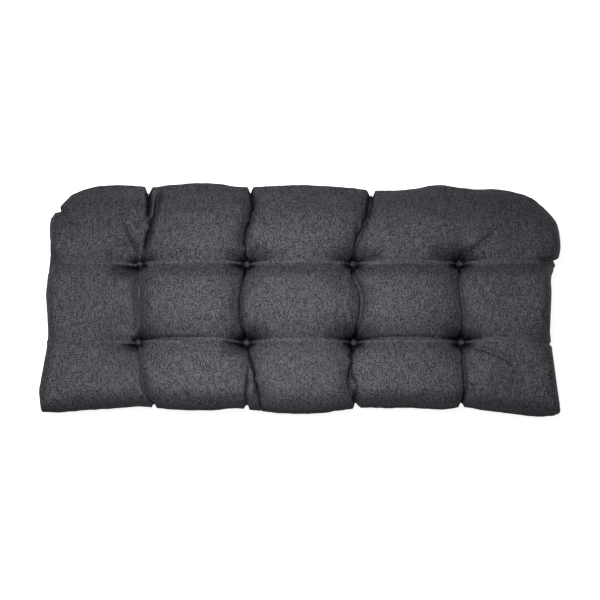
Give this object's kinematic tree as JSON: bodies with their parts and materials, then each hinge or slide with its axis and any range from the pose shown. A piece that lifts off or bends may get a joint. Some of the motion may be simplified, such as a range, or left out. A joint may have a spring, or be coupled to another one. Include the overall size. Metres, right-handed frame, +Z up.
{
  "type": "loveseat cushion",
  "caption": "Wide, low seat cushion of woven cloth, filled and tied through by rows of tufts, with rounded back corners and a plain sewn edge.",
  "frame": {"origin": "middle of the cushion's footprint, on the plane of the seat that it lies on", "axes": "+X along the seat to its right-hand end, +Y to the backrest, where the corners are round, +Z up"},
  "size_m": [1.118, 0.5, 0.127],
  "materials": {
    "cover": "matt heathered charcoal plain weave",
    "tuft": "the cover's own cloth gathered over a small nub"
  },
  "bodies": {
    "root": {"cushion": "cover", "tuft_top_front_far_left": "tuft", "tuft_top_front_mid_left": "tuft", "tuft_top_front_mid_right": "tuft", "tuft_top_front_far_right": "tuft", "tuft_top_back_far_left": "tuft", "tuft_top_back_mid_left": "tuft", "tuft_top_back_mid_right": "tuft", "tuft_top_back_far_right": "tuft", "tuft_under_front_far_left": "tuft", "tuft_under_front_mid_left": "tuft", "tuft_under_front_mid_right": "tuft", "tuft_under_front_far_right": "tuft", "tuft_under_back_far_left": "tuft", "tuft_under_back_mid_left": "tuft", "tuft_under_back_mid_right": "tuft", "tuft_under_back_far_right": "tuft"}
  },
  "joints": []
}
